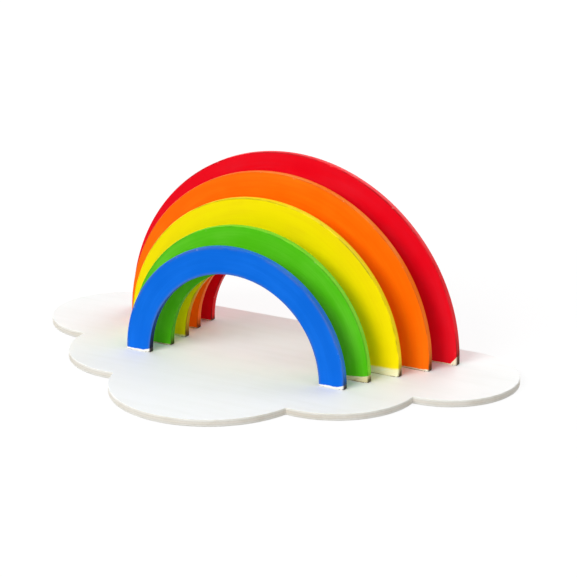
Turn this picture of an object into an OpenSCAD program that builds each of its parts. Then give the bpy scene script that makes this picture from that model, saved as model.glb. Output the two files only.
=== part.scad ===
// Rainbow stacker: five flat arches stand one behind another in slots on a cloud-shaped base.
// Millimetres, +Z up. The origin is under the middle of the base and the blue arch faces the front, -Y.

/* [Sheet] */
// Thickness of the painted ply of the base
base_t = 3.4; // [2.4:0.1:6]
// Thickness of the painted ply of the arches
arch_t = 3.2; // [2.4:0.1:5]

/* [Cloud base] */
// Width over the two end lobes
base_w = 248; // [236:1:290]
// Depth from the front lobe to the straight back edge
base_d = 141; // [132:1:170]
// Radius of the two end lobes
end_lobe_r = 33.5; // [28:0.5:38]
// Radius of the two middle lobes
mid_lobe_r = 38.5; // [34:0.5:44]
// Distance between the centres of the two middle lobes
mid_lobe_span = 101; // [90:1:112]
// Distance from the back edge to the centres of the middle lobes
mid_lobe_inset = 68; // [62:1:76]
// Radius of the front lobe
front_lobe_r = 47.5; // [41:0.5:56]

/* [Row of arches] */
// Distance from the back edge of the base to the back of the red arch
back_margin = 18.5; // [10:0.5:26]
// Distance from the front of one arch to the front of the next
arch_pitch = 13.4; // [9:0.1:16]

/* [Arches] */
// Outer radius of the blue arch
blue_r = 58.5; // [54:0.5:62]
// Height of the blue arch above the base
blue_h = 58.5; // [56:0.5:66]
// Radius of the tunnel under the blue arch
blue_tunnel_r = 45.5; // [36:0.5:47]
// Outer radius of the green arch
green_r = 64; // [56:0.5:70]
// Height of the green arch above the base
green_h = 65; // [60:0.5:72]
// Radius of the tunnel under the green arch
green_tunnel_r = 42; // [34:0.5:48]
// Outer radius of the yellow arch
yellow_r = 73; // [64:0.5:80]
// Height of the yellow arch above the base
yellow_h = 75; // [68:0.5:82]
// Radius of the tunnel under the yellow arch
yellow_tunnel_r = 42; // [34:0.5:50]
// Outer radius of the orange arch
orange_r = 82; // [74:0.5:88]
// Height of the orange arch above the base
orange_h = 84.5; // [78:0.5:92]
// Radius of the tunnel under the orange arch
orange_tunnel_r = 43.5; // [34:0.5:50]
// Outer radius of the red arch
red_r = 90; // [82:0.5:96]
// Height of the red arch above the base
red_h = 91; // [86:0.5:100]
// Radius of the tunnel under the red arch
red_tunnel_r = 43.5; // [34:0.5:50]

/* [Tabs and slots] */
// Width of the shoulder that rests on the base at each side of a tab
shoulder_w = 2.5; // [1:0.5:3.5]
// Gap on every side between a tab and its slot
slot_gap = 0.15; // [0.05:0.05:0.4]
// How far the tabs stop short of the underside of the base
tab_short = 0.2; // [0.1:0.1:0.8]

/* [Hidden] */
$fn = 180;

cloud_colour = "#f5f5f1";
blue_colour = "#0c71e4";
green_colour = "#53be18";
yellow_colour = "#f3e604";
orange_colour = "#fd6f02";
red_colour = "#f00a20";

// Left and right
sides = [-1, 1];
// Places in the row, counted from the front
blue_row = 0;
green_row = 1;
yellow_row = 2;
orange_row = 3;
red_row = 4;
outer_rs = [blue_r, green_r, yellow_r, orange_r, red_r];
heights = [blue_h, green_h, yellow_h, orange_h, red_h];
tunnel_rs = [blue_tunnel_r, green_tunnel_r, yellow_tunnel_r, orange_tunnel_r, red_tunnel_r];

// Centres of the lobes, in plan
back_y = base_d / 2;
end_lobe_x = base_w / 2 - end_lobe_r;
end_lobe_y = back_y - end_lobe_r;
mid_lobe_x = mid_lobe_span / 2;
mid_lobe_y = back_y - mid_lobe_inset;
front_lobe_y = front_lobe_r - base_d / 2;

tab_h = base_t - tab_short;
// How far a tab runs up into its leg
tab_root = shoulder_w;

// Front face of the arch in a row
function arch_y(row) = back_y - back_margin - arch_t - (red_row - row) * arch_pitch;
// Height of the centre of an arch's curves above the base
function centre_h(row) = heights[row] - outer_rs[row];
// Width of each leg, of the tab under it and of the slot for the tab
function leg_w(row) = outer_rs[row] - tunnel_rs[row];
function tab_w(row) = leg_w(row) - 2 * shoulder_w;
function slot_w(row) = tab_w(row) + 2 * slot_gap;
// Distance of the middle of each leg from the middle of the arch
function leg_x(row) = (outer_rs[row] + tunnel_rs[row]) / 2;

// A round top about a centre at height h, with straight sides below the centre, cut off at height zero
module round_top(r, h) {
    intersection() {
        union() {
            translate([0, h]) circle(r);
            if (h > 0) translate([-r, 0]) square([2 * r, h]);
        }
        translate([-r, 0]) square([2 * r, h + r]);
    }
}

// Front view of an arch, with its feet at height zero and its tabs below
module arch_outline(row) {
    difference() {
        round_top(outer_rs[row], centre_h(row));
        round_top(tunnel_rs[row], centre_h(row));
    }
    for (side = sides)
        translate([side * leg_x(row) - tab_w(row) / 2, -tab_h])
            square([tab_w(row), tab_h + tab_root]);
}

// One arch, standing on the base at its place in the row
module arch(row) {
    translate([0, arch_y(row) + arch_t, base_t])
        rotate([90, 0, 0])
            linear_extrude(arch_t) arch_outline(row);
}

// The core of the cloud, which joins the centres of its lobes
module cloud_core() {
    polygon([
        [-end_lobe_x, back_y],
        [-end_lobe_x, end_lobe_y],
        [-mid_lobe_x, mid_lobe_y],
        [0, front_lobe_y],
        [mid_lobe_x, mid_lobe_y],
        [end_lobe_x, end_lobe_y],
        [end_lobe_x, back_y],
    ]);
}

module cloud_outline() {
    cloud_core();
    for (side = sides) {
        translate([side * end_lobe_x, end_lobe_y]) circle(end_lobe_r);
        translate([side * mid_lobe_x, mid_lobe_y]) circle(mid_lobe_r);
    }
    translate([0, front_lobe_y]) circle(front_lobe_r);
}

// The two slots that take the tabs of one arch
module slots(row) {
    for (side = sides)
        translate([side * leg_x(row) - slot_w(row) / 2, arch_y(row) - slot_gap])
            square([slot_w(row), arch_t + 2 * slot_gap]);
}

module cloud_base() {
    color(cloud_colour) linear_extrude(base_t) difference() {
        cloud_outline();
        for (row = [blue_row : red_row]) slots(row);
    }
}

module blue_arch() {
    color(blue_colour) arch(blue_row);
}

module green_arch() {
    color(green_colour) arch(green_row);
}

module yellow_arch() {
    color(yellow_colour) arch(yellow_row);
}

module orange_arch() {
    color(orange_colour) arch(orange_row);
}

module red_arch() {
    color(red_colour) arch(red_row);
}

cloud_base();
blue_arch();
green_arch();
yellow_arch();
orange_arch();
red_arch();
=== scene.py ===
"""Looks of a rainbow stacker: painted ply arches standing in slots on a white cloud-shaped base.

Lengths are metres in the part's own frame: +X right, +Y to the back, +Z up, the ground at zero.
"""
import logging
import math
from dataclasses import dataclass, field
from enum import Enum
from functools import cached_property
from typing import Iterable, Iterator, Optional, Sequence, Union

import bmesh
import bpy
from mathutils import Matrix, Vector


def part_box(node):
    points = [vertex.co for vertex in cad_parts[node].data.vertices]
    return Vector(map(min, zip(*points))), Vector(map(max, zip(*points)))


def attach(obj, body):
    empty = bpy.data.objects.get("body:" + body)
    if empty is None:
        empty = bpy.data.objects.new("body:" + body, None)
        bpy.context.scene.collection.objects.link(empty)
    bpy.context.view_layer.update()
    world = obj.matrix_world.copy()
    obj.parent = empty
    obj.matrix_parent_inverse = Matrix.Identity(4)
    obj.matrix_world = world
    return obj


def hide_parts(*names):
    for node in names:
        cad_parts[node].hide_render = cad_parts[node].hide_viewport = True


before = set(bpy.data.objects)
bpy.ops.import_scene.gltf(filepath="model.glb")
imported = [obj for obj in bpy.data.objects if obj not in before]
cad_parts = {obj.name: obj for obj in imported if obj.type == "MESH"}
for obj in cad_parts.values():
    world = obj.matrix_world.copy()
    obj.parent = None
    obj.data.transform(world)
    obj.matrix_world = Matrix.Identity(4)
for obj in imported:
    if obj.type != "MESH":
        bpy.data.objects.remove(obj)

MM = 0.001
HALF = 0.5
LOG = logging.getLogger("rainbow_stacker")

Point = tuple[float, float]
Loop = list[Point]
Span = tuple[float, float]
Axes = tuple[float, float, float]
Colour = tuple[float, float, float, float]
Material = bpy.types.Material
NodeTree = bpy.types.NodeTree
Node = bpy.types.Node
Socket = bpy.types.NodeSocket
Value = Union[Socket, float, int, Sequence[float]]
Outputs = dict[str, Socket]


class Side(Enum):
    """The two legs of an arch, by the sign of their X."""

    LEFT = -1
    RIGHT = 1


class Surface(Enum):
    """Material places on a sheet piece, in the order of its material slots."""

    FACE = 0
    CUT_EDGE = 1
    SLOT_WALL = 2


class Plane(Enum):
    """How a flat outline lies in the part's frame."""

    UPRIGHT = "outline in X and Z, thickness along +Y"
    LYING = "outline in X and Y, thickness along +Z"


class MixKind(Enum):
    """What a Mix node mixes: its data type, and the numbers of its two inputs and of its output."""

    NUMBERS = ("FLOAT", 2, 3, 0)
    VECTORS = ("VECTOR", 4, 5, 1)
    COLOURS = ("RGBA", 6, 7, 2)


@dataclass(frozen=True)
class Noise:
    """Fractal noise: its scale, octaves, weight of the fine octaves and stretch along each axis."""

    scale: float = 1.0
    detail: float = 3.0
    roughness: float = 0.5
    stretch: Optional[Axes] = None


class Texture(Enum):
    """The noises behind the paint, the wood, the marks on them and their painted shade."""

    BRUSH_HAIRS = Noise(detail=4.0, roughness=0.6, stretch=(38.0, 950.0, 950.0))
    BRUSH_STROKES = Noise(detail=2.0, stretch=(16.0, 210.0, 210.0))
    PAINT_CLOUDS = Noise(55.0)
    PAINT_PEEL = Noise(900.0, 2.0)
    WOOD_FIBRES = Noise(detail=4.0, roughness=0.6, stretch=(60.0, 1500.0, 1500.0))
    WOOD_BANDS = Noise(detail=2.0, stretch=(14.0, 240.0, 240.0))
    LAYER_EDGES = Noise(420.0, 3.0, 0.6)
    END_GRAIN = Noise(1900.0, 2.0, 0.6)
    PAINT_LINE = Noise(700.0, 3.0, 0.6)
    EDGE_SHADE_PATCHES = Noise(70.0, 3.0, 0.6)
    CHIPS = Noise(420.0, 2.0)
    SCORCH_EDGES = Noise(380.0, 4.0, 0.65)
    CONTACT_SHADOW_PATCHES = Noise(150.0, 3.0, 0.55)


# Brightness curve of a display: its full level, its straight part near black, and the power above that
FULL_LEVEL = 255
STRAIGHT_END = 0.04045
STRAIGHT_SLOPE = 12.92
CURVE_OFFSET = 0.055
CURVE_POWER = 2.4


def paint(*levels: int) -> Colour:
    """Turns a colour as a display shows it into the linear colour that shaders take.

    Args:
        *levels: Red, green and blue, from 0 to 255.

    Returns:
        The linear colour with full alpha.
    """
    shares = [level / FULL_LEVEL for level in levels]
    return (*(
        share / STRAIGHT_SLOPE if share <= STRAIGHT_END
        else ((share + CURVE_OFFSET) / (1.0 + CURVE_OFFSET)) ** CURVE_POWER
        for share in shares
    ), 1.0)


def grey(level: float) -> Colour:
    """A linear grey with full alpha."""
    return (level, level, level, 1.0)


def toward(azimuth: float, elevation: float) -> Vector:
    """Direction from the object, in degrees to the right of the front and above the ground."""
    turn, tilt = math.radians(azimuth), math.radians(elevation)
    return Vector((math.sin(turn) * math.cos(tilt), -math.cos(turn) * math.cos(tilt), math.sin(tilt)))


class Wiring:
    """Adds nodes to one shader tree and joins them, with plain values or sockets alike."""

    def __init__(self, tree: NodeTree) -> None:
        """Keeps the tree that the nodes go into."""
        self.tree = tree

    @classmethod
    def fresh(cls, owner: Union[Material, bpy.types.World]) -> "Wiring":
        """Empties the shader tree of a material or a world.

        Args:
            owner: The material or the world.

        Returns:
            The wiring of its empty tree.
        """
        owner.use_nodes = True
        owner.node_tree.nodes.clear()
        return cls(owner.node_tree)

    def add(self, kind: str, **settings: object) -> Node:
        """Adds a node and sets its properties.

        Args:
            kind: Blender's name of the node type.
            **settings: Properties of the node.

        Returns:
            The new node.
        """
        node = self.tree.nodes.new(kind)
        for key, value in settings.items():
            setattr(node, key, value)
        return node

    def fill(self, node: Node, values: dict[Union[str, int], Value]) -> Node:
        """Links sockets into the inputs of a node, or sets them to plain values.

        Args:
            node: The node.
            values: What goes in, by the name or number of the input.

        Returns:
            The same node.
        """
        for key, value in values.items():
            if isinstance(value, Socket):
                self.tree.links.new(value, node.inputs[key])
            else:
                node.inputs[key].default_value = value
        return node

    def maths(self, operation: str, *values: Value, clamp: bool = False) -> Socket:
        """Adds a Math node with its inputs in order, held between 0 and 1 if clamped."""
        node = self.add("ShaderNodeMath", operation=operation, use_clamp=clamp)
        return self.fill(node, dict(enumerate(values))).outputs[0]

    def split(self, vector: Value) -> tuple[Socket, ...]:
        """Splits a vector into its X, Y and Z."""
        return tuple(self.fill(self.add("ShaderNodeSeparateXYZ"), {0: vector}).outputs)

    def join(self, x: Value, y: Value, z: Value) -> Socket:
        """Joins three numbers into a vector."""
        return self.fill(self.add("ShaderNodeCombineXYZ"), {0: x, 1: y, 2: z}).outputs[0]

    def fade(self, value: Value, start: Value, stop: Value, low: Value = 0.0, high: Value = 1.0) -> Socket:
        """Maps a value smoothly, from low where it is at the start to high where it is at the stop."""
        node = self.add("ShaderNodeMapRange", interpolation_type="SMOOTHSTEP")
        return self.fill(node, dict(enumerate((value, start, stop, low, high)))).outputs["Result"]

    def speckle(self, texture: Texture, place: Value) -> Socket:
        """Adds fractal noise.

        Args:
            texture: Which noise.
            place: Where it is read.

        Returns:
            The noise, about a half.
        """
        noise = texture.value
        if noise.stretch:
            stretched = self.add("ShaderNodeVectorMath", operation="MULTIPLY")
            place = self.fill(stretched, {0: place, 1: noise.stretch}).outputs[0]
        node = self.add("ShaderNodeTexNoise", noise_dimensions="3D")
        values = {"Scale": noise.scale, "Detail": noise.detail, "Roughness": noise.roughness}
        return self.fill(node, {"Vector": place, **values}).outputs["Fac"]

    def sway(self, noise: Value, amount: float, value: Value) -> Socket:
        """Moves a value up and down with a noise that is about a half."""
        return self.maths("MULTIPLY_ADD", self.maths("SUBTRACT", noise, HALF), amount, value)

    def mix(self, kind: MixKind, share: Value, *both: Value) -> Socket:
        """Mixes two values of one kind.

        Args:
            kind: What is mixed.
            share: How much of the second, held between 0 and 1.
            *both: The two values.

        Returns:
            The mixture.
        """
        data_type, first, second, output = kind.value
        node = self.add("ShaderNodeMix", data_type=data_type, clamp_factor=True)
        return self.fill(node, dict(zip((0, first, second), (share, *both)))).outputs[output]

    def blend(self, share: Value, first: Value, second: Value) -> Socket:
        """Mixes two colours, with a share of the second."""
        return self.mix(MixKind.COLOURS, share, first, second)

    def between(self, share: Value, first: Value, second: Value) -> Socket:
        """Mixes two numbers, with a share of the second."""
        return self.mix(MixKind.NUMBERS, share, first, second)

    def stain(self, colour: Value, mask: Value, share: Value, tone: Value) -> Socket:
        """Tints a colour with a share of a tone where a mask lies."""
        return self.blend(self.maths("MULTIPLY", mask, share), colour, tone)

    def group(self, tree: NodeTree, *values: Value) -> Outputs:
        """Places a shader node group with its inputs in order, and gives its outputs by name."""
        node = self.fill(self.add("ShaderNodeGroup", node_tree=tree), dict(enumerate(values)))
        return {socket.name: socket for socket in node.outputs}


# Kinds of group sockets, by name, where they aren't plain numbers
SOCKET_KINDS = {
    **dict.fromkeys(("Place", "Strokes", "Grain", "Round", "Left Line", "Right Line"), "NodeSocketVector"),
    **dict.fromkeys(("Colour", "Thin Colour", "Light Wood", "Dark Wood"), "NodeSocketColor"),
}


class EffectGroup:
    """A shader node group with named sockets, made once and shared by the finishes."""

    def __init__(self, name: str, *takes: str) -> None:
        """Makes the group and its inputs.

        Args:
            name: The group's name.
            *takes: The names of its inputs.
        """
        self.tree = bpy.data.node_groups.new(name, "ShaderNodeTree")
        self.wire = Wiring(self.tree)
        self._sockets(takes, "INPUT")
        self.takes = tuple(self.wire.add("NodeGroupInput").outputs)[:len(takes)]

    def _sockets(self, names: Iterable[str], way: str) -> None:
        """Adds inputs or outputs to the group.

        Args:
            names: Their names.
            way: INPUT or OUTPUT.
        """
        for name in names:
            kind = SOCKET_KINDS.get(name, "NodeSocketFloat")
            self.tree.interface.new_socket(name=name, in_out=way, socket_type=kind)

    def give(self, **values: Value) -> NodeTree:
        """Makes the outputs and feeds them.

        Args:
            **values: What they give, by name.

        Returns:
            The finished group.
        """
        named = {name.replace("_", " ").title(): value for name, value in values.items()}
        self._sockets(named, "OUTPUT")
        self.wire.fill(self.wire.add("NodeGroupOutput"), named)
        return self.tree


class Effects:
    """The shared node groups, each made once, when it is first used."""

    # Brushed paint: weights of its noises, the film that counts as thin, and how its gloss varies
    STROKE_SHARE = 0.6
    CLOUD_SHARE = 0.3
    THIN_FILM = (0.42, 0.72)
    CLOUDY_GLOSS = 0.22
    STREAKY_GLOSS = 0.12
    PEEL_HEIGHT = 0.25
    # Bare ply: weight of its bands, the grain that counts as light, and roughness of pores and fibres
    BAND_SHARE = 0.4
    LIGHT_GRAIN = (0.36, 0.66)
    WOOD_ROUGHNESS = (0.88, 0.66)
    # Ply layers, with depths as shares of the thickness, counted from its middle
    LAYER_WOBBLE = 0.07
    CORE_DEPTHS = (0.21, 0.15)
    GLUE_DEPTH = 0.18
    GLUE_WIDTHS = (0.035, 0.008)
    END_GRAIN = (0.3, 0.7)
    CORE_TONES = (0.6, 1.0)
    GLUE_HEIGHT = -0.5
    END_GRAIN_HEIGHT = 0.5
    # Paint line: how far it wanders
    LINE_WANDER = 0.7 * MM
    # Worn and shaded edge: noise of the patches of its painted shade line and of its chips, and how near the
    # edge they lie
    PATCHES = (0.34, 0.56)
    CHIPS = (0.68, 0.76)
    EDGE_SHADE_FULL = 0.1 * MM
    CHIP_REACH = (1.6 * MM, 0.2 * MM)
    # Scorch: how ragged it is, and where burn and smoke fade, as shares of its reach
    RAGGEDNESS = 0.8
    BURN_FADE = (0.75, 0.05)
    SMOKE_FADE = (1.6, 0.2)

    @cached_property
    def arch_place(self) -> NodeTree:
        """Distances on an arch from its edges and the base, and a place that runs round it.

        Returns:
            The group.
        """
        effect = EffectGroup(
            "Arch Place", "Place", "Outer Radius", "Tunnel Radius", "Centre Height", "Base Top",
        )
        wire = effect.wire
        place, outer_r, tunnel_r, centre_z, base_top = effect.takes
        x, y, z = wire.split(place)
        rise = wire.maths("MAXIMUM", wire.maths("SUBTRACT", z, centre_z), 0.0)
        squares = wire.maths("ADD", wire.maths("MULTIPLY", x, x), wire.maths("MULTIPLY", rise, rise))
        radius = wire.maths("SQRT", squares)
        turn = wire.maths("MULTIPLY", wire.maths("ARCTAN2", rise, x), outer_r)
        to_outer = wire.maths("SUBTRACT", outer_r, radius)
        to_tunnel = wire.maths("SUBTRACT", radius, tunnel_r)
        right = wire.maths("GREATER_THAN", x, 0.0)
        return effect.give(
            to_outer=to_outer,
            to_tunnel=to_tunnel,
            to_right=wire.between(right, to_tunnel, to_outer),
            above_base=wire.maths("SUBTRACT", z, base_top),
            round=wire.join(turn, radius, y),
            right=right,
        )

    @cached_property
    def brushed_paint(self) -> NodeTree:
        """Hand-brushed paint: long streaks along the first axis of Strokes, soft clouds and small specks.

        Returns:
            The group.
        """
        effect = EffectGroup("Brushed Paint", "Strokes", "Colour", "Thin Colour", "Streaks", "Roughness")
        wire = effect.wire
        place, colour, thin_colour, streaks, roughness = effect.takes
        hairs = wire.speckle(Texture.BRUSH_HAIRS, place)
        strokes = wire.speckle(Texture.BRUSH_STROKES, place)
        clouds = wire.speckle(Texture.PAINT_CLOUDS, place)
        peel = wire.speckle(Texture.PAINT_PEEL, place)
        film = wire.between(self.STROKE_SHARE, hairs, strokes)
        thin = wire.fade(wire.between(self.CLOUD_SHARE, film, clouds), *self.THIN_FILM)
        uneven = wire.sway(clouds, self.CLOUDY_GLOSS, roughness)
        return effect.give(
            colour=wire.stain(colour, thin, streaks, thin_colour),
            roughness=wire.sway(hairs, self.STREAKY_GLOSS, uneven),
            height=wire.maths("MULTIPLY_ADD", peel, self.PEEL_HEIGHT, film),
        )

    @cached_property
    def bare_ply(self) -> NodeTree:
        """Unpainted face veneer: cream wood with fine pores along the first axis of Grain.

        Returns:
            The group.
        """
        effect = EffectGroup("Bare Ply", "Grain", "Light Wood", "Dark Wood")
        wire = effect.wire
        grain, light_wood, dark_wood = effect.takes
        fibres = wire.speckle(Texture.WOOD_FIBRES, grain)
        bands = wire.speckle(Texture.WOOD_BANDS, grain)
        light = wire.fade(wire.between(self.BAND_SHARE, fibres, bands), *self.LIGHT_GRAIN)
        return effect.give(
            colour=wire.blend(light, dark_wood, light_wood),
            roughness=wire.between(fibres, *self.WOOD_ROUGHNESS),
            height=fibres,
        )

    @cached_property
    def ply_layers(self) -> NodeTree:
        """Layers of ply on a cut edge: two face veneers, a darker core and thin glue lines.

        Returns:
            The group.
        """
        effect = EffectGroup("Ply Layers", "Place", "Depth Share")
        wire = effect.wire
        place, depth_share = effect.takes
        ragged = wire.speckle(Texture.LAYER_EDGES, place)
        depth = wire.sway(ragged, self.LAYER_WOBBLE, depth_share)
        off_middle = wire.maths("ABSOLUTE", wire.maths("SUBTRACT", depth, HALF))
        off_glue = wire.maths("ABSOLUTE", wire.maths("SUBTRACT", off_middle, self.GLUE_DEPTH))
        core = wire.fade(off_middle, *self.CORE_DEPTHS)
        glue = wire.fade(off_glue, *self.GLUE_WIDTHS)
        end_grain = wire.speckle(Texture.END_GRAIN, place)
        pores = wire.maths("MULTIPLY", end_grain, self.END_GRAIN_HEIGHT)
        return effect.give(
            core=wire.maths("MULTIPLY", core, wire.fade(end_grain, *self.END_GRAIN, *self.CORE_TONES)),
            glue=glue,
            height=wire.maths("MULTIPLY_ADD", glue, self.GLUE_HEIGHT, pores),
        )

    @cached_property
    def paint_line(self) -> NodeTree:
        """Where the paint of an arch stops: a height, a rise to the right and a bare corner for each leg.

        Returns:
            The group.
        """
        effect = EffectGroup(
            "Paint Line", "Place", "Right", "To Right", "Leg Width", "Above Base",
            "Left Line", "Right Line", "Corner Width", "Feather",
        )
        wire = effect.wire
        place, right, to_right, leg_w, above_base, left_line, right_line, corner_w, feather = effect.takes

        def rightward(width: Value) -> Socket:
            """How much of a width is passed on the way to the leg's right edge."""
            return wire.maths("SUBTRACT", 1.0, wire.maths("DIVIDE", to_right, width), clamp=True)

        leg_line = wire.mix(MixKind.VECTORS, right, left_line, right_line)
        height, slope, corner = wire.split(leg_line)
        raised = wire.maths("MULTIPLY_ADD", rightward(corner_w), corner, height)
        line = wire.maths("MULTIPLY_ADD", rightward(leg_w), slope, raised)
        straight = wire.maths("SUBTRACT", above_base, line)
        above = wire.sway(wire.speckle(Texture.PAINT_LINE, place), self.LINE_WANDER, straight)
        bare = wire.maths("MULTIPLY", feather, -HALF)
        return effect.give(painted=wire.fade(above, bare, wire.maths("MULTIPLY", feather, HALF)))

    @cached_property
    def worn_and_shaded_edge(self) -> NodeTree:
        """Along an edge: a patchy darker line, which is painted shade, and a few small chips of real wear.

        Returns:
            The group.
        """
        effect = EffectGroup("Worn And Shaded Edge", "Place", "Near Edge", "Reach")
        wire = effect.wire
        place, near_edge, reach = effect.takes
        shade_patches = wire.fade(wire.speckle(Texture.EDGE_SHADE_PATCHES, place), *self.PATCHES)
        chips = wire.fade(wire.speckle(Texture.CHIPS, place), *self.CHIPS)
        close = wire.fade(near_edge, reach, self.EDGE_SHADE_FULL)
        return effect.give(
            rubbed=wire.maths("MULTIPLY", shade_patches, close),
            chipped=wire.maths("MULTIPLY", chips, wire.fade(near_edge, *self.CHIP_REACH)),
        )

    @cached_property
    def scorch(self) -> NodeTree:
        """Brown from the heat of cutting, strong at distance zero and ragged where it dies out.

        Returns:
            The group.
        """
        effect = EffectGroup("Scorch", "Place", "Distance", "Reach", "Strength")
        wire = effect.wire
        place, distance, reach, strength = effect.takes
        straight = wire.maths("DIVIDE", distance, reach)
        far = wire.sway(wire.speckle(Texture.SCORCH_EDGES, place), self.RAGGEDNESS, straight)
        return effect.give(
            burnt=wire.maths("MULTIPLY", wire.fade(far, *self.BURN_FADE), strength),
            smoke=wire.maths("MULTIPLY", wire.fade(far, *self.SMOKE_FADE), strength),
        )


@dataclass(frozen=True)
class WoodTones:
    """Colours of the bare and the burnt ply."""

    light: Colour = paint(254, 248, 222)
    dark: Colour = paint(236, 220, 180)
    core: Colour = paint(196, 160, 112)
    brown: Colour = paint(112, 78, 52)
    char: Colour = paint(34, 24, 20)


@dataclass(frozen=True)
class Marks:
    """How rough one kind of surface is, and how strongly its marks show, as shares of full strength."""

    bumps: float
    roughness: float = 0.0
    streaks: float = 0.0
    rubbed: float = 0.0
    chipped: float = 0.0
    smoke: float = 0.0
    burnt: float = 0.0
    core: float = 0.0
    glue: float = 0.0
    painted_glue: float = 0.0
    grain: float = 0.0


@dataclass(frozen=True)
class FootLine:
    """Where the paint of one leg stops, in millimetres: height, rise to the right and bare right corner."""

    height: float
    rise: float
    corner: float

    def vector(self) -> Axes:
        """The three lengths in metres."""
        return (self.height * MM, self.rise * MM, self.corner * MM)


@dataclass(frozen=True)
class ArchFinish:
    """Paint of one arch: its colours, its foot lines, its wear and scorch, and its painted shade and
    highlight, with lengths in millimetres.
    """

    face: Colour
    face_thin: Colour
    # The rim colours are lighter than the face on most arches: partly thinner paint over the cut edge, partly
    # a painted highlight
    rim: Colour
    rim_thin: Colour
    # The tunnel paint is darker than the rim on the blue, green and yellow arches: painted shade inside the
    # tunnel
    tunnel: Colour
    # The border tone colours the painted shade line along the edges, and glue lines under thin rim paint
    border: Colour
    smoke: Colour
    left: FootLine
    right: FootLine
    outer_scorch: float
    tunnel_scorch: float
    feather: float = 0.25
    edge_shade_reach: float = 0.7
    contact_shadow: float = 0.7
    tones: WoodTones = WoodTones()
    face_marks: Marks = Marks(
        bumps=0.35, roughness=0.42, streaks=0.7, rubbed=0.65, chipped=0.12, smoke=0.5, burnt=0.85,
    )
    rim_marks: Marks = Marks(
        bumps=0.3, roughness=0.42, streaks=0.8, rubbed=0.6, chipped=0.2, smoke=0.75, burnt=0.75,
        core=0.8, glue=0.7, painted_glue=0.08, grain=0.6,
    )


@dataclass(frozen=True)
class CloudFinish:
    """White paint of the base, with its greyer rim and its burnt slots."""

    top: Colour = paint(245, 247, 247)
    top_thin: Colour = paint(238, 240, 238)
    rim: Colour = paint(240, 238, 230)
    rim_thin: Colour = paint(219, 213, 199)
    tones: WoodTones = WoodTones()
    top_marks: Marks = Marks(bumps=0.25, roughness=0.5, streaks=0.6, grain=0.3)
    rim_marks: Marks = Marks(bumps=0.3, roughness=0.5, streaks=0.7, core=0.16, glue=0.22)
    slot_marks: Marks = Marks(bumps=0.4, core=0.5, burnt=0.75)


class Swatch:
    """One material being mixed from the shared effects, with its shader and the place on the piece."""

    SHEEN = 0.07
    BUMP_DEPTH = 0.12 * MM

    def __init__(self, name: str, marks: Marks, effects: Effects) -> None:
        """Makes an empty material with a Principled shader.

        Args:
            name: The material's name.
            marks: How strongly its marks show.
            effects: The shared effects.
        """
        self.marks = marks
        self.effects = effects
        self.material = bpy.data.materials.new(name)
        self.wire = Wiring.fresh(self.material)
        self.shader = self.wire.add("ShaderNodeBsdfPrincipled")
        self.wire.fill(self.wire.add("ShaderNodeOutputMaterial"), {"Surface": self.shader.outputs[0]})
        self.place = self.wire.add("ShaderNodeTexCoord").outputs["Object"]

    def coat(self, strokes: Value, colour: Value, thin: Value) -> Outputs:
        """Places paint brushed along the first axis of the strokes, with its colour where it is thin."""
        tree, marks = self.effects.brushed_paint, self.marks
        return self.wire.group(tree, strokes, colour, thin, marks.streaks, marks.roughness)

    def ply(self, grain: Value, light: Colour, dark: Colour) -> Outputs:
        """Places bare ply in two tones, with its fibres along the first axis of the grain."""
        return self.wire.group(self.effects.bare_ply, grain, light, dark)

    def layers(self, into: Value, thick: float) -> Outputs:
        """Places the layers of ply of a thickness, by the way into it."""
        depth_share = self.wire.maths("DIVIDE", into, thick)
        return self.wire.group(self.effects.ply_layers, self.place, depth_share)

    def wear_and_shade(self, near_edge: Value, reach: float) -> Outputs:
        """Places the painted shade line up to a reach from an edge, with small chips of wear near it."""
        return self.wire.group(self.effects.worn_and_shaded_edge, self.place, near_edge, reach)

    def scorch(self, distance: Value, reach: Value, strength: Value) -> Outputs:
        """Places scorch up to a reach from where the distance is zero."""
        return self.wire.group(self.effects.scorch, self.place, distance, reach, strength)

    def finish(self, colour: Value, roughness: Value, height: Value) -> Material:
        """Feeds the mixed finish into the shader.

        Args:
            colour: The base colour.
            roughness: The roughness.
            height: The height of the surface.

        Returns:
            The material.
        """
        bump = self.wire.add("ShaderNodeBump")
        self.wire.fill(bump, {"Strength": self.marks.bumps, "Distance": self.BUMP_DEPTH, "Height": height})
        surface = {"Base Color": colour, "Roughness": roughness, "Normal": bump.outputs[0]}
        self.wire.fill(self.shader, {"Specular IOR Level": self.SHEEN, **surface})
        return self.material


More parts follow.
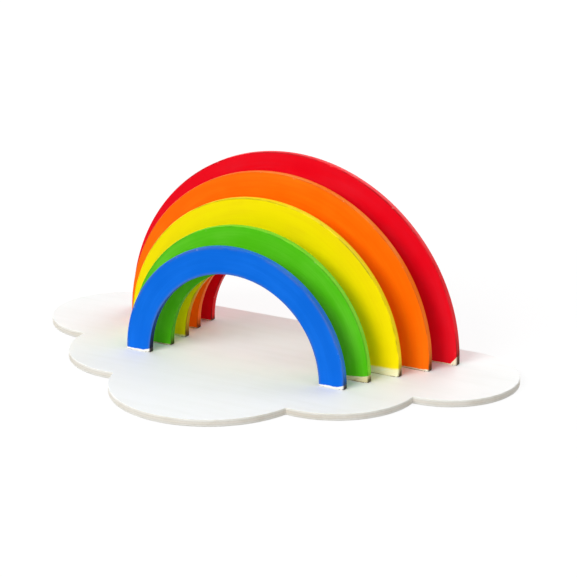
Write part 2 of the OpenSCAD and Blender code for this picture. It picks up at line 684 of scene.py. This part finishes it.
class FinishShop:
    """Turns finishes into materials, with the shared effects."""

    # Slope of the wood grain across an arch
    GRAIN_SLANT = 0.5
    # Width of a leg's bare right corner
    BARE_CORNER = 3.4 * MM
    # Scorch on the faces: its reach from the edge and from the corner, where it is also painted contact
    # shadow, and its fade up the edge
    EDGE_SCORCH = 0.7 * MM
    CORNER_SCORCH_AND_SHADOW = 2.3 * MM
    SCORCH_RISE = (8 * MM, 0.5 * MM)
    EDGE_BURN = 0.6
    # Painted contact shadow: brown patches where a foot meets the base
    CONTACT_SHADOW_PATCHES = (0.4, 0.6)
    CONTACT_SHADOW_REACH = (0.35 * MM, 0.05 * MM)
    # Step from the bare wood up to the paint, in heights of the brush strokes
    PAINT_STEP = 1.2
    # Cut edges: reach of the painted shade line along them, and roughness of smoked paint
    RIM_SHADE_REACH = 0.7 * MM
    SMOKED_ROUGHNESS = 0.8
    # Base: wood that shows through its paint, and reach of the scorch in its slots
    WOOD_THROUGH_PAINT = 0.035
    SLOT_SCORCH = 6 * MM

    def __init__(self, effects: Effects) -> None:
        """Keeps the shared effects."""
        self.effects = effects

    def _arch_parts(self, swatch: Swatch, arch: "Arch") -> tuple[Outputs, Outputs, Outputs]:
        """Places the effects that both surfaces of an arch use.

        Args:
            swatch: The material being mixed.
            arch: The arch.

        Returns:
            Outputs of the arch place, the paint line and the bare ply.
        """
        finish, wire, place = arch.finish, swatch.wire, swatch.place
        spot = wire.group(
            self.effects.arch_place, place, arch.outer_r, arch.tunnel_r, arch.centre_z, arch.foot_z,
        )
        line = wire.group(
            self.effects.paint_line, place, spot["Right"], spot["To Right"], arch.outer_r - arch.tunnel_r,
            spot["Above Base"], finish.left.vector(), finish.right.vector(), self.BARE_CORNER,
            finish.feather * MM,
        )
        x, y, z = wire.split(place)
        along = wire.maths("MULTIPLY_ADD", z, self.GRAIN_SLANT, x)
        grain = wire.join(along, wire.maths("MULTIPLY_ADD", x, -self.GRAIN_SLANT, z), y)
        return spot, line, swatch.ply(grain, finish.tones.light, finish.tones.dark)

    def arch_face(self, arch: "Arch") -> Material:
        """The painted front and back of an arch, with bare feet below its paint line.

        Args:
            arch: The arch.

        Returns:
            The material.
        """
        finish, marks, tones = arch.finish, arch.finish.face_marks, arch.finish.tones
        swatch = Swatch(f"{arch.name}_face", marks, self.effects)
        wire = swatch.wire
        spot, line, ply = self._arch_parts(swatch, arch)
        coat = swatch.coat(spot["Round"], finish.face, finish.face_thin)
        near_edge = wire.maths("MINIMUM", spot["To Outer"], spot["To Tunnel"])
        wear_and_shade = swatch.wear_and_shade(near_edge, finish.edge_shade_reach * MM)
        low = wire.fade(spot["Above Base"], *self.SCORCH_RISE, high=self.EDGE_BURN)
        edge = swatch.scorch(spot["To Right"], self.EDGE_SCORCH, low)
        # The dark bottom right corner of each foot is scorch and painted contact shadow together
        nook = wire.maths("ADD", spot["To Right"], spot["Above Base"])
        corner = swatch.scorch(nook, self.CORNER_SCORCH_AND_SHADOW, marks.burnt)
        # Painted contact shadow: patchy brown along the bottom of each foot, where it meets the base
        shade_patches = wire.fade(wire.speckle(Texture.CONTACT_SHADOW_PATCHES, swatch.place), *self.CONTACT_SHADOW_PATCHES)
        contact_shadow = wire.fade(spot["Above Base"], *self.CONTACT_SHADOW_REACH, high=finish.contact_shadow)
        # Painted shade: a patchy darker line along the edges of the face, in the border tone; the chips are
        # real wear
        painted = wire.stain(coat["Colour"], wear_and_shade["Rubbed"], marks.rubbed, finish.border)
        painted = wire.stain(painted, wear_and_shade["Chipped"], marks.chipped, tones.light)
        colour = wire.blend(line["Painted"], ply["Colour"], painted)
        colour = wire.stain(colour, edge["Smoke"], marks.smoke, finish.smoke)
        colour = wire.blend(wire.maths("MAXIMUM", edge["Burnt"], corner["Burnt"]), colour, tones.char)
        colour = wire.stain(colour, shade_patches, contact_shadow, tones.brown)
        roughness = wire.between(line["Painted"], ply["Roughness"], coat["Roughness"])
        height = wire.between(line["Painted"], ply["Height"], coat["Height"])
        height = wire.maths("MULTIPLY_ADD", line["Painted"], self.PAINT_STEP, height)
        return swatch.finish(colour, roughness, height)

    def arch_rim(self, arch: "Arch") -> Material:
        """The cut edge of an arch: paint that thins over the ply, scorched towards its feet.

        Args:
            arch: The arch.

        Returns:
            The material.
        """
        finish, marks, tones = arch.finish, arch.finish.rim_marks, arch.finish.tones
        swatch = Swatch(f"{arch.name}_rim", marks, self.effects)
        wire = swatch.wire
        spot, line, ply = self._arch_parts(swatch, arch)
        outer = wire.maths("LESS_THAN", spot["To Outer"], spot["To Tunnel"])
        # The tunnel side of the cut edge takes the tunnel paint, darker on some arches as painted shade
        colours = (wire.blend(outer, finish.tunnel, tone) for tone in (finish.rim, finish.rim_thin))
        coat = swatch.coat(spot["Round"], *colours)
        into = wire.maths("SUBTRACT", wire.split(swatch.place)[1], arch.front_y)
        layers = swatch.layers(into, arch.thick)
        near_edge = wire.maths("MINIMUM", into, wire.maths("SUBTRACT", arch.thick, into))
        wear_and_shade = swatch.wear_and_shade(near_edge, self.RIM_SHADE_REACH)
        reach = wire.between(outer, finish.tunnel_scorch * MM, finish.outer_scorch * MM)
        burn = swatch.scorch(spot["Above Base"], reach, 1.0)
        wood = wire.stain(ply["Colour"], layers["Core"], marks.core, tones.core)
        wood = wire.stain(wood, layers["Glue"], marks.glue, tones.brown)
        painted = wire.stain(coat["Colour"], layers["Glue"], marks.painted_glue, finish.border)
        # Painted shade: a patchy darker line along both edges of the cut
        painted = wire.stain(painted, wear_and_shade["Rubbed"], marks.rubbed, finish.border)
        painted = wire.stain(painted, wear_and_shade["Chipped"], marks.chipped, tones.light)
        colour = wire.blend(line["Painted"], wood, painted)
        colour = wire.stain(colour, burn["Smoke"], marks.smoke, finish.smoke)
        colour = wire.stain(colour, burn["Burnt"], marks.burnt, tones.char)
        roughness = wire.between(burn["Smoke"], coat["Roughness"], self.SMOKED_ROUGHNESS)
        height = wire.maths("MULTIPLY_ADD", layers["Height"], marks.grain, coat["Height"])
        return swatch.finish(colour, roughness, height)

    def cloud_top(self, cloud: "CloudBase") -> Material:
        """The white paint of the base's top and underside.

        Args:
            cloud: The base.

        Returns:
            The material.
        """
        finish, marks, tones = cloud.finish, cloud.finish.top_marks, cloud.finish.tones
        swatch = Swatch("cloud_top", marks, self.effects)
        coat = swatch.coat(swatch.place, finish.top, finish.top_thin)
        ply = swatch.ply(swatch.place, tones.light, tones.dark)
        colour = swatch.wire.blend(self.WOOD_THROUGH_PAINT, coat["Colour"], ply["Colour"])
        height = swatch.wire.maths("MULTIPLY_ADD", ply["Height"], marks.grain, coat["Height"])
        return swatch.finish(colour, coat["Roughness"], height)

    def cloud_rim(self, cloud: "CloudBase") -> Material:
        """The cut edge of the base: thin white paint that lets the ply layers through.

        Args:
            cloud: The base.

        Returns:
            The material.
        """
        finish, marks, tones = cloud.finish, cloud.finish.rim_marks, cloud.finish.tones
        swatch = Swatch("cloud_rim", marks, self.effects)
        wire = swatch.wire
        coat = swatch.coat(swatch.place, finish.rim, finish.rim_thin)
        layers = swatch.layers(wire.split(swatch.place)[2], cloud.thick)
        colour = wire.stain(coat["Colour"], layers["Core"], marks.core, tones.core)
        colour = wire.stain(colour, layers["Glue"], marks.glue, tones.brown)
        return swatch.finish(colour, coat["Roughness"], wire.maths("ADD", layers["Height"], coat["Height"]))

    def slot_wall(self, cloud: "CloudBase") -> Material:
        """The burnt ply inside the slots.

        Args:
            cloud: The base.

        Returns:
            The material.
        """
        marks, tones = cloud.finish.slot_marks, cloud.finish.tones
        swatch = Swatch("slot_wall", marks, self.effects)
        wire = swatch.wire
        up = wire.split(swatch.place)[2]
        ply = swatch.ply(swatch.place, tones.core, tones.brown)
        layers = swatch.layers(up, cloud.thick)
        burn = swatch.scorch(up, self.SLOT_SCORCH, marks.burnt)
        colour = wire.stain(ply["Colour"], layers["Core"], marks.core, tones.brown)
        colour = wire.blend(burn["Burnt"], colour, tones.char)
        return swatch.finish(colour, ply["Roughness"], wire.maths("ADD", ply["Height"], layers["Height"]))


# Longest straight piece of an arc, and straight pieces of an eased corner
ARC_STEP = 1.2 * MM
EASE_PIECES = 4
# Most of a side that an eased corner takes up, and the least that a mitre is divided by
EASE_SHARE = 0.45
MITRE_SHARE = 0.6
# Turns above which a corner is eased, and an edge is shaded as sharp
SHARP_CORNER = math.radians(30)
SHARP_EDGE = math.radians(38)


def arc(centre: Point, radius: float, start: float, stop: float) -> Loop:
    """Points along an arc, both ends included.

    Args:
        centre: The arc's centre.
        radius: Its radius.
        start: The first angle, in radians.
        stop: The last angle.

    Returns:
        The points.
    """
    count = max(2, math.ceil(abs(stop - start) * radius / ARC_STEP))
    turns = (start + (stop - start) * index / count for index in range(count + 1))
    return [(centre[0] + radius * math.cos(turn), centre[1] + radius * math.sin(turn)) for turn in turns]


def corners(loop: Loop) -> Iterator[tuple[Vector, Vector, Vector]]:
    """Each point of a closed outline, with the way into it and the way on from it."""
    for before, here, after in zip(loop[-1:] + loop, loop, loop[1:] + loop[:1]):
        yield Vector(here), Vector(here) - Vector(before), Vector(after) - Vector(here)


def eased(loop: Loop, radius: float) -> Loop:
    """Rounds the sharp corners of a closed outline.

    Args:
        loop: The outline.
        radius: The rounding's radius.

    Returns:
        The rounded outline.
    """
    out: Loop = []
    for here, into, away in corners(loop):
        turn = math.pi - (-into).angle(away)
        if turn < SHARP_CORNER:
            out.append((here.x, here.y))
            continue
        reach = min(radius * math.tan(turn / 2), EASE_SHARE * min(into.length, away.length))
        first, last = here - into.normalized() * reach, here + away.normalized() * reach
        for piece in range(EASE_PIECES + 1):
            share = piece / EASE_PIECES
            bend = first * (1 - share) ** 2 + here * 2 * share * (1 - share) + last * share ** 2
            out.append((bend.x, bend.y))
    return out


def inset(loop: Loop, distance: float) -> Loop:
    """Moves a closed outline to its left by a distance, with mitred corners.

    Args:
        loop: The outline, with its material on the left.
        distance: How far it moves.

    Returns:
        The moved outline.
    """
    out: Loop = []
    for here, into, away in corners(loop):
        left_in, left_out = (Vector((-way.y, way.x)) for way in (into.normalized(), away.normalized()))
        middle = (left_in + left_out).normalized()
        moved = here + middle * (distance / max(MITRE_SHARE, middle.dot(left_in)))
        out.append((moved.x, moved.y))
    return out


@dataclass(kw_only=True)
class SheetPiece:
    """A piece cut from ply: closed outlines, a thickness and softened edges."""

    name: str
    thick: float
    soft: float = 0.35 * MM
    bends: int = 4
    obj: Optional[bpy.types.Object] = field(default=None, init=False)

    def _rings(self) -> list[Span]:
        """Inset and depth of each ring of the softened sheet, from one face to the other.

        Returns:
            The rings.
        """
        angles = [math.pi / 2 * index / self.bends for index in range(self.bends + 1)]
        first = [(self.soft * (1 - math.sin(angle)), self.soft * (1 - math.cos(angle))) for angle in angles]
        return first + [(offset, self.thick - depth) for offset, depth in reversed(first)]

    def make(self, loops: Sequence[Loop], plane: Plane, start: float) -> None:
        """Builds the closed mesh of the sheet.

        Args:
            loops: The outline, and after it any slots, each with its material on the left.
            plane: How the outline lies.
            start: Where the thickness starts.
        """
        rings = self._rings()
        mesh = bmesh.new()
        caps: dict[int, list[bmesh.types.BMEdge]] = {0: [], len(rings) - 1: []}
        for order, loop in enumerate(loops):
            wall = Surface.SLOT_WALL if order else Surface.CUT_EDGE
            rows = [self._row(mesh, inset(loop, offset), plane, start + depth) for offset, depth in rings]
            for level in caps:
                row = rows[level]
                caps[level] += [mesh.edges.new((row[index - 1], row[index])) for index in range(len(row))]
            for level, (low, high) in enumerate(zip(rows, rows[1:])):
                from_face = min(level, len(rings) - 2 - level)
                place = Surface.FACE if from_face < self.bends // 2 else wall
                for index in range(len(low)):
                    side = mesh.faces.new((low[index - 1], low[index], high[index], high[index - 1]))
                    side.smooth = True
                    side.material_index = place.value
        for edges in caps.values():
            filled = bmesh.ops.triangle_fill(mesh, use_beauty=True, use_dissolve=False, edges=edges)
            for item in filled["geom"]:
                if isinstance(item, bmesh.types.BMFace):
                    item.smooth = False
                    item.material_index = Surface.FACE.value
        bmesh.ops.recalc_face_normals(mesh, faces=mesh.faces)
        for edge in mesh.edges:
            if len(edge.link_faces) == 2 and edge.calc_face_angle() > SHARP_EDGE:
                edge.smooth = False
        data = bpy.data.meshes.new(self.name)
        mesh.to_mesh(data)
        mesh.free()
        self.obj = bpy.data.objects.new(self.name, data)
        bpy.context.scene.collection.objects.link(self.obj)

    @staticmethod
    def _row(mesh: bmesh.types.BMesh, loop: Loop, plane: Plane, depth: float) -> list[bmesh.types.BMVert]:
        """Adds one ring of points at a depth along the thickness."""
        upright = plane is Plane.UPRIGHT
        return [mesh.verts.new((u, depth, v) if upright else (u, v, depth)) for u, v in loop]

    def dress(self, *materials: Material) -> None:
        """Gives the piece its materials, in the order of its surfaces."""
        for material in materials:
            self.obj.data.materials.append(material)

    def settle(self, body: str, node: str, slot: str) -> None:
        """Lets the piece ride on its body and stand for its solid.

        Args:
            body: The body it moves with.
            node: The solid it stands for.
            slot: The record's material slot, which is not used.
        """
        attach(self.obj, body)
        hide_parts(node)


@dataclass(kw_only=True)
class Arch(SheetPiece):
    """One half-round arch on two legs, with a tab under each leg."""

    colour: str
    outer_r: float
    tunnel_r: float
    height: float
    front_y: float
    foot_z: float
    tab_h: float
    finish: ArchFinish
    shoulder: float = 2.5 * MM

    @property
    def centre_z(self) -> float:
        """Height of the centre of both curves."""
        return self.foot_z + self.height - self.outer_r

    @property
    def leg_x(self) -> float:
        """Distance of each leg's middle from the middle of the arch."""
        return (self.outer_r + self.tunnel_r) / 2

    @property
    def tab_w(self) -> float:
        """Width of each tab."""
        return self.outer_r - self.tunnel_r - 2 * self.shoulder

    def _foot(self, side: Side) -> Loop:
        """The foot and tab of one leg, from the outer edge inwards.

        Args:
            side: Which leg.

        Returns:
            The points.
        """
        far, near = self.leg_x + self.tab_w / 2, self.leg_x - self.tab_w / 2
        top, low = self.foot_z, self.foot_z - self.tab_h
        steps = [(self.outer_r, top), (far, top), (far, low), (near, low), (near, top), (self.tunnel_r, top)]
        return [(side.value * across, up) for across, up in steps]

    def outline(self) -> Loop:
        """The front view, anticlockwise, with eased corners.

        Returns:
            The points.
        """
        centre = (0.0, self.centre_z)
        over = arc(centre, self.outer_r, 0.0, math.pi)
        under = arc(centre, self.tunnel_r, math.pi, 0.0)
        if self.centre_z - self.foot_z < self.soft:
            over, under = over[1:-1], under[1:-1]
        loop = over + self._foot(Side.LEFT) + under + list(reversed(self._foot(Side.RIGHT)))
        return eased(loop, self.soft)

    def build(self, shop: FinishShop) -> None:
        """Makes, dresses and settles the arch.

        Args:
            shop: Where its materials come from.
        """
        self.make([self.outline()], Plane.UPRIGHT, self.front_y)
        self.dress(shop.arch_face(self), shop.arch_rim(self))
        self.settle(self.colour, f"{self.colour}_arch", f"{self.colour}_paint")


@dataclass(kw_only=True)
class CloudBase(SheetPiece):
    """The cloud-shaped base, with a pair of slots for each arch."""

    width: float = 248 * MM
    depth: float = 141 * MM
    end_r: float = 33.5 * MM
    mid_r: float = 38.5 * MM
    mid_span: float = 101 * MM
    mid_inset: float = 68 * MM
    front_r: float = 47.5 * MM
    notch_ease: float = 0.8 * MM
    slot_gap: float = 0.15 * MM
    finish: CloudFinish = CloudFinish()

    def _lobes(self) -> list[tuple[Point, float]]:
        """Centres and radii of the five lobes, from the left end round the front to the right end.

        Returns:
            The lobes.
        """
        back = self.depth / 2
        end_x, end_y = self.width / 2 - self.end_r, back - self.end_r
        mid_x, mid_y = self.mid_span / 2, back - self.mid_inset
        return [
            ((-end_x, end_y), self.end_r),
            ((-mid_x, mid_y), self.mid_r),
            ((0.0, self.front_r - back), self.front_r),
            ((mid_x, mid_y), self.mid_r),
            ((end_x, end_y), self.end_r),
        ]

    @staticmethod
    def _notch(first: tuple[Point, float], second: tuple[Point, float]) -> Vector:
        """The outer point where two neighbouring lobes meet.

        Args:
            first: The lobe that comes first, anticlockwise.
            second: The next lobe.

        Returns:
            The point.
        """
        start, stop = Vector(first[0]), Vector(second[0])
        line = stop - start
        along = (first[1] ** 2 - second[1] ** 2 + line.length_squared) / (2 * line.length)
        aside = math.sqrt(first[1] ** 2 - along ** 2)
        ahead = line.normalized()
        return start + ahead * along + Vector((ahead.y, -ahead.x)) * aside

    def outline(self) -> Loop:
        """The plan, anticlockwise, with eased notches.

        Returns:
            The points.
        """
        lobes = self._lobes()
        left_top, right_top = (Vector((lobe[0][0], self.depth / 2)) for lobe in (lobes[0], lobes[-1]))
        joints = [left_top] + [self._notch(a, b) for a, b in zip(lobes, lobes[1:])] + [right_top]
        loop: Loop = []
        for (centre, radius), start, stop in zip(lobes, joints, joints[1:]):
            first = math.atan2(start.y - centre[1], start.x - centre[0])
            last = math.atan2(stop.y - centre[1], stop.x - centre[0])
            last += 2 * math.pi if last < first else 0.0
            points = arc(centre, radius, first, last)
            loop += points[1:] if loop else points
        return eased(loop, self.notch_ease)

    def slot(self, arch: Arch, side: Side) -> Loop:
        """One slot for a tab, clockwise.

        Args:
            arch: The arch whose tab it takes.
            side: Which leg.

        Returns:
            The points.
        """
        middle = side.value * arch.leg_x
        half = arch.tab_w / 2 + self.slot_gap
        low, high = arch.front_y - self.slot_gap, arch.front_y + arch.thick + self.slot_gap
        return [(middle - half, low), (middle - half, high), (middle + half, high), (middle + half, low)]

    def build(self, shop: FinishShop, arches: Sequence[Arch]) -> None:
        """Makes, dresses and settles the base.

        Args:
            shop: Where its materials come from.
            arches: The arches that stand in its slots.
        """
        slots = [self.slot(arch, side) for arch in arches for side in Side]
        self.make([self.outline(), *slots], Plane.LYING, 0.0)
        self.dress(shop.cloud_top(self), shop.cloud_rim(self), shop.slot_wall(self))
        self.settle("base", "cloud_base", "white_paint")


@dataclass(frozen=True)
class Lamp:
    """One soft round lamp, aimed at the object: its direction in degrees, its power and its size."""

    name: str
    azimuth: float
    elevation: float
    power: float
    size: float = 0.8
    distance: float = 1.3

    def place(self) -> None:
        """Puts the lamp into the scene."""
        data = bpy.data.lights.new(self.name, "AREA")
        data.shape = "DISK"
        data.size = self.size
        data.energy = self.power
        way = toward(self.azimuth, self.elevation)
        light = bpy.data.objects.new(self.name, data)
        light.location = way * self.distance
        light.rotation_euler = way.to_track_quat("Z", "Y").to_euler()
        bpy.context.scene.collection.objects.link(light)


@dataclass
class Studio:
    """Camera, floor and soft light."""

    camera_place: Axes = (0.4512, -0.7612, 0.3323)
    azimuth: float = 29.11
    elevation: float = 18.215
    roll: float = -0.13
    focal_pixels: float = 2019.6
    image_pixels: float = 577.0
    sensor: float = 36.0
    clip: Span = (0.05, 20.0)
    lamps: tuple[Lamp, ...] = (
        Lamp("key", -15.0, 36.0, 9.7),
        Lamp("high_front", 5.0, 54.0, 1.8),
        Lamp("low_front", 5.0, 20.0, 1.6),
        Lamp("front_left", -45.0, 45.0, 1.0),
        Lamp("left", -100.0, 20.0, 4.6),
        Lamp("right", 75.0, 20.0, 3.4),
        Lamp("back_right", 140.0, 40.0, 2.2),
        Lamp("high_back", 180.0, 65.0, 1.5),
        Lamp("low_back", 180.0, 18.0, 6.7),
    )
    sky: float = 0.22
    floor_half: float = 4.0
    floor_drop: float = 0.02 * MM
    floor_bounce: float = 0.4
    floor_tone: float = 0.15
    floor_glow: Span = (0.86, 0.97)
    glow_reach: Span = (0.3, 1.5)

    def build(self) -> None:
        """Sets up the whole studio."""
        bpy.context.scene.view_settings.view_transform = "Standard"
        self._camera()
        for lamp in self.lamps:
            lamp.place()
        self._sky()
        self._floor()

    def _camera(self) -> None:
        """Places the camera."""
        data = bpy.data.cameras.new("camera")
        data.sensor_width = self.sensor
        data.lens = self.sensor * self.focal_pixels / self.image_pixels
        data.clip_start, data.clip_end = self.clip
        turn, roll = math.radians(self.azimuth), math.radians(self.roll)
        back = toward(self.azimuth, self.elevation)
        right = Vector((math.cos(turn), math.sin(turn), 0.0))
        up = back.cross(right)
        across = right * math.cos(roll) + up * math.sin(roll)
        upward = up * math.cos(roll) - right * math.sin(roll)
        camera = bpy.data.objects.new("camera", data)
        axes = Matrix((across, upward, back)).transposed().to_4x4()
        camera.matrix_world = Matrix.Translation(Vector(self.camera_place)) @ axes
        bpy.context.scene.collection.objects.link(camera)
        bpy.context.scene.camera = camera

    @staticmethod
    def _shown(wire: Wiring, light: Node, look: Node) -> Socket:
        """Lights the object with one shader, and shows another to the camera, to gloss and to glass.

        Args:
            wire: The wiring of the sky or the floor.
            light: The shader that lights the object.
            look: The shader that is seen.

        Returns:
            Both, mixed by the kind of ray.
        """
        path = wire.add("ShaderNodeLightPath")
        seen = wire.maths("MAXIMUM", path.outputs["Is Camera Ray"], path.outputs["Is Transmission Ray"])
        seen = wire.maths("MAXIMUM", seen, path.outputs["Is Glossy Ray"])
        mix = wire.add("ShaderNodeMixShader")
        return wire.fill(mix, {0: seen, 1: light.outputs[0], 2: look.outputs[0]}).outputs[0]

    def _sky(self) -> None:
        """Lights the object evenly from all round, and shows white behind it."""
        world = bpy.data.worlds.new("studio")
        wire = Wiring.fresh(world)
        soft, white = (
            wire.fill(wire.add("ShaderNodeBackground"), {"Color": grey(1.0), "Strength": strength})
            for strength in (self.sky, 1.0)
        )
        wire.fill(wire.add("ShaderNodeOutputWorld"), {"Surface": self._shown(wire, soft, white)})
        bpy.context.scene.world = world

    def _floor(self) -> None:
        """Lays a plain pale floor that keeps the object's shadow."""
        data = bpy.data.meshes.new("floor")
        half = self.floor_half
        points = [(-half, -half, 0), (half, -half, 0), (half, half, 0), (-half, half, 0)]
        data.from_pydata(points, [], [(0, 1, 2, 3)])
        floor = bpy.data.objects.new("floor", data)
        floor.location.z = -self.floor_drop
        bpy.context.scene.collection.objects.link(floor)
        material = bpy.data.materials.new("floor")
        wire = Wiring.fresh(material)
        matt, faint = (
            wire.fill(wire.add("ShaderNodeBsdfDiffuse"), {"Color": grey(level)})
            for level in (self.floor_bounce, self.floor_tone)
        )
        away = wire.add("ShaderNodeVectorMath", operation="LENGTH")
        wire.fill(away, {0: wire.add("ShaderNodeTexCoord").outputs["Object"]})
        strength = wire.fade(away.outputs["Value"], *self.glow_reach, *self.floor_glow)
        glow = wire.fill(wire.add("ShaderNodeEmission"), {"Strength": strength})
        pale = wire.fill(wire.add("ShaderNodeAddShader"), {0: faint.outputs[0], 1: glow.outputs[0]})
        wire.fill(wire.add("ShaderNodeOutputMaterial"), {"Surface": self._shown(wire, matt, pale)})
        data.materials.append(material)


class Rainbow(Enum):
    """The arches from front to back: outer radius, height above the base, tunnel radius, and finish."""

    BLUE = (58.5, 58.5, 45.5, ArchFinish(
        face=paint(2, 103, 217), face_thin=paint(18, 116, 231), rim=paint(28, 112, 212),
        rim_thin=paint(92, 152, 218), tunnel=paint(20, 74, 150), border=paint(78, 108, 176),
        # On the blue arch the navy smoke and the long tunnel scorch are scorch and painted shade together
        smoke=paint(38, 54, 84), left=FootLine(0.9, 0.0, 1.1), right=FootLine(0.8, 0.3, 1.1),
        outer_scorch=6.0, tunnel_scorch=18.0, edge_shade_reach=1.6, contact_shadow=0.15,
        tones=WoodTones(light=paint(255, 254, 248), dark=paint(250, 246, 234))))
    GREEN = (64.0, 65.0, 42.0, ArchFinish(
        face=paint(83, 198, 17), face_thin=paint(112, 214, 54), rim=paint(124, 217, 48),
        rim_thin=paint(146, 224, 80), tunnel=paint(74, 168, 14), border=paint(70, 156, 24),
        smoke=paint(84, 92, 40), left=FootLine(0.3, 0.1, 0.2), right=FootLine(0.6, 2.4, 0.4),
        outer_scorch=4.0, tunnel_scorch=4.0,
        # The green arch's darker, yellower bare wood is partly painted shade on its feet, which stand behind
        # the blue arch
        tones=WoodTones(light=paint(250, 243, 200), dark=paint(226, 212, 158))))
    YELLOW = (73.0, 75.0, 42.0, ArchFinish(
        face=paint(255, 230, 0), face_thin=paint(246, 214, 10), rim=paint(250, 226, 16),
        rim_thin=paint(250, 234, 96), tunnel=paint(206, 156, 8), border=paint(142, 128, 16),
        smoke=paint(124, 92, 44), left=FootLine(0.4, 0.2, 0.2), right=FootLine(3.2, 0.3, 0.5),
        outer_scorch=6.0, tunnel_scorch=6.0, feather=1.5,
        tones=WoodTones(light=paint(255, 253, 224), dark=paint(250, 241, 190))))
    ORANGE = (82.0, 84.5, 43.5, ArchFinish(
        face=paint(255, 110, 0), face_thin=paint(255, 130, 12), rim=paint(255, 120, 14),
        rim_thin=paint(255, 156, 84), tunnel=paint(255, 112, 22), border=paint(214, 92, 20),
        smoke=paint(122, 70, 40), left=FootLine(0.3, 0.1, 0.2), right=FootLine(0.5, 0.2, 0.4),
        outer_scorch=9.0, tunnel_scorch=4.0))
    RED = (90.0, 91.0, 43.5, ArchFinish(
        face=paint(234, 6, 29), face_thin=paint(230, 34, 51), rim=paint(244, 28, 40),
        rim_thin=paint(242, 80, 82), tunnel=paint(236, 34, 40), border=paint(136, 22, 28),
        smoke=paint(108, 56, 50), left=FootLine(0.2, 0.1, 0.2), right=FootLine(0.3, 0.2, 3.8),
        outer_scorch=11.0, tunnel_scorch=2.0))

    def arch(self) -> Arch:
        """The arch of this place in the row, on its own solid's front and thickness.

        Returns:
            The arch, not yet built.
        """
        outer, height, tunnel, finish = self.value
        colour = self.name.lower()
        low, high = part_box(f"{colour}_arch")
        foot_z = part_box("cloud_base")[1][2]
        return Arch(
            name=f"{colour}_ply", thick=high[1] - low[1], colour=colour, finish=finish,
            outer_r=outer * MM, tunnel_r=tunnel * MM, height=height * MM,
            front_y=low[1], foot_z=foot_z, tab_h=foot_z - low[2],
        )


def main() -> None:
    """Builds the arches, the base and the studio, and logs the number of points of each piece."""
    logging.basicConfig(level=logging.INFO, format="%(name)s: %(message)s")
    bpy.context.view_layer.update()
    shop = FinishShop(Effects())
    arches = [place.arch() for place in Rainbow]
    for arch in arches:
        arch.build(shop)
    low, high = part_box("cloud_base")
    cloud = CloudBase(name="cloud_ply", thick=high[2] - low[2])
    cloud.build(shop, arches)
    for piece in (*arches, cloud):
        LOG.info("%s: %d points", piece.name, len(piece.obj.data.vertices))
    Studio().build()


if __name__ == "__main__":
    main()
